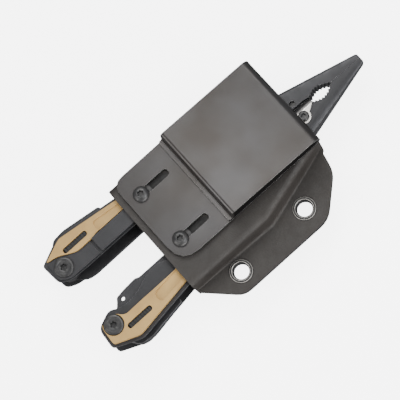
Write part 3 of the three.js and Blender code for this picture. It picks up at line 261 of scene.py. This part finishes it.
gloss = mottled(tree, 240, 3, ((0.54, 0.54, 0.54), (0.68, 0.68, 0.68)))
tree.links.new(gloss.outputs["Color"], shader.inputs["Roughness"])
pebble = tree.nodes.new("ShaderNodeTexVoronoi")
pebble.inputs["Scale"].default_value = 1500
tree.links.new(place.outputs["Object"], pebble.inputs["Vector"])
relief(tree, shader, pebble.outputs["Distance"], 0.06 * MM, 0.55)
scuff = mottled(tree, 2600, 2, ((0, 0, 0), (1, 1, 1)), (0.35, 0.65))
relief(tree, shader, scuff.outputs["Color"], 0.008 * MM, 0.5)

sheath = clean_copy("sheath_shell", "sheath_sheet")
eyelet_lip = 0.7 * MM
flange_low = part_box("eyelet_mouth")[0][2] + eyelet_lip
flange_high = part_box("eyelet_mouth")[1][2] - eyelet_lip
foot_near_y, foot_far_y = -31.8 * MM, -18.5 * MM


def at_bulge_foot(first, second):
    """The inner corners where the pressed bulge rises from the flange, on both faces."""
    return (first - second).length > 8 * MM and all(
        foot_near_y < point.y < foot_far_y
        and min(abs(point.z - flange_low), abs(point.z - flange_high)) < 0.2 * MM
        for point in (first, second))


select_edges(sheath, at_bulge_foot)
bpy.ops.mesh.bevel(offset=1.8 * MM, segments=5, affect="EDGES")
bpy.ops.object.mode_set(mode="OBJECT")
break_edges(sheath, 0.45 * MM, 3)
assign(sheath, sheath_sheet, "sheath", "sheath", "sheath_shell")


# ---- Flange eyelets ----------------------------------------------------------------------------
# Two black enamelled brass eyelets are pressed through both layers of the flange and rolled over.
# A thin bright line is painted along the crown of each flare, partly enamel wear and partly painted
# highlight.


def turned(name, profile, x, y, facets=64, ring=False):
    """Draws a circle through (radius, height) steps; the ends are capped, or joined for a ring."""
    bpy.ops.object.select_all(action="DESELECT")
    radius, height = profile[0]
    bpy.ops.mesh.primitive_circle_add(vertices=facets, radius=radius, fill_type="NOTHING",
                                      location=(x, y, height))
    piece = bpy.context.object
    piece.name = name
    piece.data.name = name
    bpy.ops.object.transform_apply(location=True)
    bpy.ops.object.mode_set(mode="EDIT")
    bpy.ops.mesh.select_mode(type="VERT")
    bpy.ops.mesh.select_all(action="SELECT")
    for next_radius, next_height in profile[1:]:
        bpy.ops.mesh.extrude_region_move(
            TRANSFORM_OT_translate={"value": (0, 0, next_height - height)})
        share = next_radius / radius
        bpy.ops.transform.resize(value=(share, share, 1), center_override=(x, y, next_height))
        radius, height = next_radius, next_height
    bpy.ops.mesh.select_all(action="DESELECT")
    bpy.ops.mesh.select_non_manifold()
    if ring:
        bpy.ops.mesh.bridge_edge_loops()
    else:
        bpy.ops.mesh.fill_holes(sides=0)
    bpy.ops.mesh.select_all(action="SELECT")
    bpy.ops.mesh.normals_make_consistent(inside=False)
    bpy.ops.object.mode_set(mode="OBJECT")
    return piece


def middle(node):
    """Where a round part stands: x, y, its lowest and highest z, and its radius."""
    low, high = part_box(node)
    return (low[0] + high[0]) / 2, (low[1] + high[1]) / 2, low[2], high[2], (high[0] - low[0]) / 2


def eyelet_enamel(name, x, y):
    """Black enamel with two thin brass-grey crowns measured from the eyelet's centre, as wear and painted
    highlight.
    """
    material, tree, shader = new_material(name, (0.012, 0.012, 0.012), 0.30, 0.2)
    place = tree.nodes.new("ShaderNodeTexCoord")
    centre = tree.nodes.new("ShaderNodeMapping")
    centre.inputs["Location"].default_value = (-x, -y, 0)
    centre.inputs["Scale"].default_value = (1, 1, 0)
    reach = tree.nodes.new("ShaderNodeVectorMath")
    reach.operation = "LENGTH"
    share = tree.nodes.new("ShaderNodeMath")
    share.operation = "MULTIPLY"
    share.inputs[1].default_value = 1 / (6 * MM)
    crowns = tree.nodes.new("ShaderNodeValToRGB")
    # Painted highlight and wear: two thin brass-grey rings at the crowns of the flares.
    crown_wear_and_highlight, coated = (0.62, 0.59, 0.55, 1), (0.012, 0.012, 0.012, 1)
    stops = ((0.0, coated), (0.70, coated), (0.725, crown_wear_and_highlight), (0.75, coated),
             (0.865, coated), (0.885, crown_wear_and_highlight), (0.91, coated))
    for place_along, colour in stops[1:-1]:
        stop = crowns.color_ramp.elements.new(place_along)
        stop.color = colour
    crowns.color_ramp.elements[0].color = coated
    crowns.color_ramp.elements[-1].color = coated
    crowns.color_ramp.elements[-1].position = stops[-1][0]
    tree.links.new(place.outputs["Object"], centre.inputs["Vector"])
    tree.links.new(centre.outputs["Vector"], reach.inputs[0])
    tree.links.new(reach.outputs["Value"], share.inputs[0])
    tree.links.new(share.outputs["Value"], crowns.inputs["Fac"])
    tree.links.new(crowns.outputs["Color"], shader.inputs["Base Color"])
    speck = mottled(tree, 1800, 3, ((0.24, 0.24, 0.24), (0.44, 0.44, 0.44)))
    tree.links.new(speck.outputs["Color"], shader.inputs["Roughness"])
    return material


for node in ("eyelet_mouth", "eyelet_nose"):
    x, y, low, high, flare = middle(node)
    hole, lip = 3.62 * MM, 0.72 * MM
    under, over = low + lip, high - lip
    ring = turned(node + "_ring", [
        (hole, low + 1.6 * MM), (hole + 0.12 * MM, low + 0.7 * MM), (hole + 0.45 * MM, low + 0.2 * MM),
        (hole + 0.95 * MM, low), (flare - 0.55 * MM, low), (flare - 0.12 * MM, low + 0.22 * MM),
        (flare, low + 0.5 * MM), (flare - 0.05 * MM, under), (hole + 0.48 * MM, under + 0.02 * MM),
        (hole + 0.48 * MM, over - 0.02 * MM), (flare - 0.05 * MM, over), (flare, high - 0.5 * MM),
        (flare - 0.12 * MM, high - 0.22 * MM), (flare - 0.55 * MM, high), (hole + 0.95 * MM, high),
        (hole + 0.45 * MM, high - 0.2 * MM), (hole + 0.12 * MM, high - 0.7 * MM),
        (hole, high - 1.6 * MM)], x, y, 72, ring=True)
    bpy.ops.object.shade_smooth_by_angle(angle=radians(50))
    assign(ring, eyelet_enamel(node + "_enamel", x, y), "sheath", "eyelet", node)


# ---- Belt clip ---------------------------------------------------------------------------------
# A single strip of 1.3 mm spring steel, slotted, bent round on itself, oxide finished and oiled, so
# that its broad faces are satin with faint brown and blue clouds.

clip_steel, tree, shader = new_material("clip_steel", (0.07, 0.068, 0.067), 0.33, 0.8)
cloud = mottled(tree, 30, 3, ((0.056, 0.051, 0.047), (0.078, 0.077, 0.079)), (0.30, 0.70))
tree.links.new(cloud.outputs["Color"], shader.inputs["Base Color"])
gloss = mottled(tree, 90, 3, ((0.28, 0.28, 0.28), (0.34, 0.34, 0.34)))
tree.links.new(gloss.outputs["Color"], shader.inputs["Roughness"])
rolled = mottled(tree, 700, 3, ((0, 0, 0), (1, 1, 1)), (0.3, 0.7), (0.15, 1, 1))
relief(tree, shader, rolled.outputs["Color"], 0.006 * MM, 0.5)

# Painted highlight and wear: the clip's narrow bevel faces are painted a lighter mottled grey, partly
# scuffed steel and partly a painted highlight for its bright edge lines.
clip_edge, tree, shader = new_material("clip_edge", (0.30, 0.29, 0.28), 0.30, 0.8)
wear_and_highlight_tone = mottled(tree, 160, 4, ((0.16, 0.155, 0.15), (0.48, 0.465, 0.45)), (0.35, 0.7))
tree.links.new(wear_and_highlight_tone.outputs["Color"], shader.inputs["Base Color"])

clip = finished_copy("belt_clip", "clip_strip", 0.22 * MM, 2, wear_and_highlight=True)
assign(clip, clip_steel, "clip", "clip", "belt_clip", edge=clip_edge)


# ---- Clip screws, washers and nuts -------------------------------------------------------------
# Black oxide button-head screws with six-lobed recesses clamp the clip's slots over steel washers
# into flush nuts pressed into the sheath wall.

screw_steel, tree, shader = new_material("screw_steel", (0.052, 0.052, 0.052), 0.40, 0.5)
cloud = mottled(tree, 500, 4, ((0.042, 0.042, 0.043), (0.064, 0.063, 0.062)))
tree.links.new(cloud.outputs["Color"], shader.inputs["Base Color"])
gloss = mottled(tree, 800, 3, ((0.32, 0.32, 0.32), (0.46, 0.46, 0.46)))
tree.links.new(gloss.outputs["Color"], shader.inputs["Roughness"])


def sink_recess(piece, x, y, from_z, radius, depth):
    """Sinks a six-lobed driver recess into the flat cap at from_z, which faces away from the shank."""
    bpy.ops.object.mode_set(mode="EDIT")
    bpy.ops.mesh.select_mode(type="FACE")
    bpy.ops.mesh.select_all(action="DESELECT")
    bpy.ops.object.mode_set(mode="OBJECT")
    cap = max((face for face in piece.data.polygons if abs(face.center.z - from_z) < 0.01 * MM),
              key=lambda face: face.area)
    cap.select = True
    cap_radius = max((piece.data.vertices[i].co.xy - Vector((x, y))).length for i in cap.vertices)
    outward = cap.normal.z
    bpy.ops.object.mode_set(mode="EDIT")
    bpy.ops.mesh.inset(thickness=cap_radius - radius)
    bpy.ops.object.mode_set(mode="OBJECT")
    floor_points = [piece.data.vertices[i] for i in
                    next(face for face in piece.data.polygons if face.select).vertices]
    for point in floor_points:
        spoke = point.co.xy - Vector((x, y))
        lobe = 0.87 + 0.13 * cos(6 * spoke.angle_signed(Vector((1, 0))))
        point.co.x = x + spoke.x * lobe
        point.co.y = y + spoke.y * lobe
    bpy.ops.object.mode_set(mode="EDIT")
    bpy.ops.mesh.extrude_region_move(TRANSFORM_OT_translate={"value": (0, 0, -outward * depth)})
    bpy.ops.transform.resize(value=(0.9, 0.9, 1), center_override=(x, y, from_z))
    bpy.ops.object.mode_set(mode="OBJECT")


screw_head_height = 2.1 * MM
for side in ("upper", "lower"):
    for kind in ("washer", "nut"):
        node = f"clip_{kind}_{side}"
        piece = finished_copy(node, node + "_turned", 0.1 * MM, 2)
        assign(piece, screw_steel, "sheath", "screw", node)
    node = f"clip_screw_{side}"
    x, y, low, high, head = middle(node)
    under = high - screw_head_height
    screw = turned(node + "_turned", [
        (1.5 * MM, low), (1.72 * MM, low + 0.3 * MM), (1.72 * MM, under), (head, under),
        (head, under + 0.35 * MM), (head * 0.985, under + 0.65 * MM), (head * 0.94, under + 1.0 * MM),
        (head * 0.86, under + 1.35 * MM), (head * 0.76, under + 1.65 * MM),
        (head * 0.64, under + 1.9 * MM), (head * 0.52, high)], x, y)
    sink_recess(screw, x, y, high, head * 0.42, 1.6 * MM)
    break_edges(screw, 0.08 * MM, 2, 40)
    assign(screw, screw_steel, "sheath", "screw", node)


# ---- Jaws, cutters and plier pivot -------------------------------------------------------------
# The forged jaws are black oxided all over. Bright replaceable cutters are screwed into them, and a
# shouldered bolt and its nut hold the lap joint together.

tool_oxide, tree, shader = new_material("tool_oxide", (0.04, 0.04, 0.042), 0.45, 0.5)
cloud = mottled(tree, 70, 5, ((0.036, 0.036, 0.038), (0.047, 0.047, 0.050)))
tree.links.new(cloud.outputs["Color"], shader.inputs["Base Color"])
gloss = mottled(tree, 300, 4, ((0.36, 0.36, 0.36), (0.50, 0.50, 0.50)))
tree.links.new(gloss.outputs["Color"], shader.inputs["Roughness"])
tumbled = mottled(tree, 1500, 2, ((0, 0, 0), (1, 1, 1)), (0.3, 0.7))
relief(tree, shader, tumbled.outputs["Color"], 0.008 * MM, 0.5)

# Painted highlight and wear: the narrow bevel faces of the oxided jaws, liners, pocket clip and tools are
# painted a lighter grey, partly scuffed oxide and partly a painted highlight for their bright edge lines.
oxide_edge, tree, shader = new_material("oxide_edge", (0.24, 0.24, 0.245), 0.35, 0.7)
wear_and_highlight_tone = mottled(tree, 220, 4, ((0.10, 0.10, 0.102), (0.40, 0.40, 0.405)), (0.35, 0.7))
tree.links.new(wear_and_highlight_tone.outputs["Color"], shader.inputs["Base Color"])

bright_steel, tree, shader = new_material("bright_steel", (0.62, 0.60, 0.57), 0.28, 1.0)
cloud = mottled(tree, 120, 3, ((0.55, 0.53, 0.50), (0.70, 0.68, 0.65)))
tree.links.new(cloud.outputs["Color"], shader.inputs["Base Color"])
ground = mottled(tree, 900, 3, ((0, 0, 0), (1, 1, 1)), (0.3, 0.7), (0.08, 1, 1))
relief(tree, shader, ground.outputs["Color"], 0.01 * MM, 0.6)

for side, body in (("upper", "jaw_a"), ("lower", "jaw_b")):
    jaw = finished_copy(f"jaw_{side}", f"jaw_{side}_forging", 0.16 * MM, 2, wear_and_highlight=True)
    assign(jaw, tool_oxide, body, "oxide", f"jaw_{side}", edge=oxide_edge)
    cutter = finished_copy(f"cutter_{side}", f"cutter_{side}_insert", 0.12 * MM, 2)
    assign(cutter, bright_steel, body, "cutter", f"cutter_{side}")
    x, y, low, high, head = middle(f"cutter_screw_{side}")
    cap, end = (low, high) if side == "upper" else (high, low)
    step = MM if side == "upper" else -MM
    screw = turned(f"cutter_screw_{side}_turned", [
        (1.45 * MM, end), (1.45 * MM, cap + 1.4 * step), (head, cap + 1.4 * step),
        (head, cap + 0.55 * step), (head * 0.9, cap + 0.2 * step), (head * 0.78, cap)], x, y, 48)
    sink_recess(screw, x, y, cap, head * 0.48, 0.9 * MM)
    break_edges(screw, 0.06 * MM, 2, 40)
    assign(screw, screw_steel, body, "screw", f"cutter_screw_{side}")

for node in ("pivot_bolt", "pivot_nut"):
    piece = finished_copy(node, node + "_turned", 0.12 * MM, 2)
    assign(piece, screw_steel, "plier_pivot", "screw", node)


# ---- Handles -----------------------------------------------------------------------------------
# Each handle is two stamped steel liners held apart by a spacer, with a machined tan laminate scale
# on each face, and through bolts at the tool end and the fold.

scale_laminate, tree, shader = new_material("scale_laminate", (0.49, 0.31, 0.105), 0.62, 0.0)
cloud = mottled(tree, 90, 5, ((0.44, 0.270, 0.090), (0.54, 0.345, 0.120)))
tree.links.new(cloud.outputs["Color"], shader.inputs["Base Color"])
weave = tree.nodes.new("ShaderNodeTexWave")
weave.inputs["Scale"].default_value = 420
weave.inputs["Distortion"].default_value = 1.5
place = tree.nodes.new("ShaderNodeTexCoord")
tree.links.new(place.outputs["Object"], weave.inputs["Vector"])
relief(tree, shader, weave.outputs["Fac"], 0.012 * MM, 0.5)

# Painted highlight and wear: the scales' narrow bevel faces are painted a paler tan, partly sanded laminate
# and partly a painted highlight for the thin bright line along each scale's edge.
scale_edge, tree, shader = new_material("scale_edge", (0.66, 0.47, 0.22), 0.5, 0.0)
pale = mottled(tree, 300, 3, ((0.58, 0.40, 0.17), (0.74, 0.55, 0.29)))
tree.links.new(pale.outputs["Color"], shader.inputs["Base Color"])

# The upper bolt's head stands on the pocket clip, and the lower one's on its liner.
head_seat = {"upper": 1.34 * MM, "lower": 0.02 * MM}
head_dish = 0.22 * MM

for side, body in (("upper", "handle_a"), ("lower", "handle_b")):
    for face in ("front", "back"):
        liner = finished_copy(f"liner_{face}_{side}", f"liner_{face}_{side}_plate", 0.22 * MM, 2, wear_and_highlight=True)
        assign(liner, tool_oxide, body, "oxide", f"liner_{face}_{side}", edge=oxide_edge)
        scale = finished_copy(f"scale_{face}_{side}", f"scale_{face}_{side}_slab", 0.3 * MM, 2, wear_and_highlight=True)
        assign(scale, scale_laminate, body, "scale", f"scale_{face}_{side}", edge=scale_edge)
    spacer = finished_copy(f"spacer_{side}", f"spacer_{side}_block", 0.2 * MM, 2)
    assign(spacer, tool_oxide, body, "oxide", f"spacer_{side}")
    for kind in ("fold_bolt", "fold_nut", "tool_washer"):
        piece = finished_copy(f"{kind}_{side}", f"{kind}_{side}_turned", 0.12 * MM, 2)
        assign(piece, screw_steel, body, "screw", f"{kind}_{side}")
    x, y, low, high, head = middle(f"tool_bolt_{side}")
    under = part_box(f"liner_front_{side}")[1][2] + head_seat[side]
    bolt = turned(f"tool_bolt_{side}_turned", [
        (2.0 * MM, low), (2.22 * MM, low + 0.3 * MM), (2.22 * MM, under), (head, under),
        (head, high - 0.5 * MM), (head - 0.15 * MM, high - 0.2 * MM), (head - 0.5 * MM, high),
        (head * 0.70, high), (head * 0.665, high - head_dish), (head * 0.60, high - head_dish)], x, y)
    sink_recess(bolt, x, y, high - head_dish, head * 0.38, 1.6 * MM)
    break_edges(bolt, 0.07 * MM, 2, 30)
    assign(bolt, screw_steel, body, "screw", f"tool_bolt_{side}")
    x, y, low, high, head = middle(f"tool_nut_{side}")
    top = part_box(f"liner_back_{side}")[0][2] - 0.02 * MM
    nut = turned(f"tool_nut_{side}_turned", [
        (2.0 * MM, high), (2.22 * MM, high - 0.05 * MM), (2.22 * MM, top), (head, top),
        (head, low + 0.5 * MM), (head - 0.15 * MM, low + 0.2 * MM), (head - 0.5 * MM, low),
        (head * 0.70, low), (head * 0.665, low + head_dish), (head * 0.60, low + head_dish)], x, y)
    sink_recess(nut, x, y, low + head_dish, head * 0.40, 1.0 * MM)
    break_edges(nut, 0.07 * MM, 2, 30)
    assign(nut, screw_steel, body, "screw", f"tool_nut_{side}")


# ---- Grip bars ---------------------------------------------------------------------------------
# A black nylon bar, moulded with nine ribs across it, fills the slot in each scale. It stands on the
# liner and its ribs stay a little below the scale's face.

bar_nylon, tree, shader = new_material("bar_nylon", (0.012, 0.012, 0.012), 0.5, 0.0)
cloud = mottled(tree, 900, 3, ((0.009, 0.009, 0.009), (0.018, 0.018, 0.018)))
tree.links.new(cloud.outputs["Color"], shader.inputs["Base Color"])
gloss = mottled(tree, 1400, 2, ((0.42, 0.42, 0.42), (0.60, 0.60, 0.60)))
tree.links.new(gloss.outputs["Color"], shader.inputs["Roughness"])

ribs = 9
rib_height = 0.6 * MM
for side, body in (("upper", "handle_a"), ("lower", "handle_b")):
    for face, outward in (("front", 1), ("back", -1)):
        low, high = (Vector(corner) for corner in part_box(f"grip_bar_{face}_{side}"))
        seat, top = (low.z, high.z) if outward > 0 else (high.z, low.z)
        size = high - low
        bpy.ops.object.select_all(action="DESELECT")
        bpy.ops.mesh.primitive_grid_add(x_subdivisions=2 * ribs + 1, y_subdivisions=1, size=1,
                                        location=((low.x + high.x) / 2, (low.y + high.y) / 2, seat))
        bar = bpy.context.object
        bar.name = f"grip_bar_{face}_{side}_moulding"
        bar.data.name = bar.name
        bar.scale = (size.x, size.y, 1)
        bpy.ops.object.transform_apply(location=True, scale=True)
        bpy.ops.object.mode_set(mode="EDIT")
        bpy.ops.mesh.select_mode(type="VERT")
        bpy.ops.mesh.select_all(action="DESELECT")
        bpy.ops.object.mode_set(mode="OBJECT")
        for point in bar.data.vertices:
            point.select = min(point.co.x - low.x, high.x - point.co.x) < 0.1 * MM
        bpy.ops.object.mode_set(mode="EDIT")
        bpy.ops.transform.resize(value=(1, 0.5, 1),
                                 center_override=((low.x + high.x) / 2, (low.y + high.y) / 2, seat))
        bpy.ops.mesh.select_mode(type="FACE")
        bpy.ops.mesh.select_all(action="SELECT")
        crest = top - outward * rib_height
        bpy.ops.mesh.extrude_region_move(TRANSFORM_OT_translate={"value": (0, 0, crest - seat)})
        bpy.ops.object.mode_set(mode="OBJECT")
        pitch = size.x / (2 * ribs + 1)
        for facet in bar.data.polygons:
            along = int((facet.center.x - low.x) / pitch)
            facet.select = abs(facet.center.z - crest) < 0.01 * MM and along % 2 == 1
        bpy.ops.object.mode_set(mode="EDIT")
        bpy.ops.mesh.extrude_region_move(TRANSFORM_OT_translate={"value": (0, 0, top - crest)})
        bpy.ops.mesh.select_all(action="SELECT")
        bpy.ops.mesh.normals_make_consistent(inside=False)
        # The mitres depend on the order of the elements, so it is made the same every time.
        bpy.ops.mesh.sort_elements(type="CURSOR_DISTANCE", elements={"VERT", "EDGE", "FACE"})
        bpy.ops.object.mode_set(mode="OBJECT")
        break_edges(bar, 0.08 * MM, 2)
        assign(bar, bar_nylon, body, "bar", f"grip_bar_{face}_{side}")


# ---- Pocket clip -------------------------------------------------------------------------------
# A stamped strip of oxided steel under the upper handle's tool bolt: a flat plate, a joggle behind a
# groove, and a long raised arm. Its edges are painted lighter, as wear and as painted highlight.

pocket_clip = finished_copy("pocket_clip", "pocket_clip_strip", 0.2 * MM, 2, wear_and_highlight=True)
assign(pocket_clip, tool_oxide, "handle_a", "oxide", "pocket_clip", edge=oxide_edge)


# ---- Blades and drivers ------------------------------------------------------------------------
# The tools are blanked from oxided steel plate, ground to their edges, and turn on the handles'
# tool bolts.

for node, body in (("knife_blade", "knife"), ("saw_blade", "saw"), ("bottle_opener", "opener"),
                   ("flat_driver", "driver"), ("awl", "awl"), ("cross_driver", "cross")):
    blade = finished_copy(node, node + "_ground", 0.15 * MM, 2, wear_and_highlight=True)
    assign(blade, tool_oxide, body, "oxide", node, edge=oxide_edge)
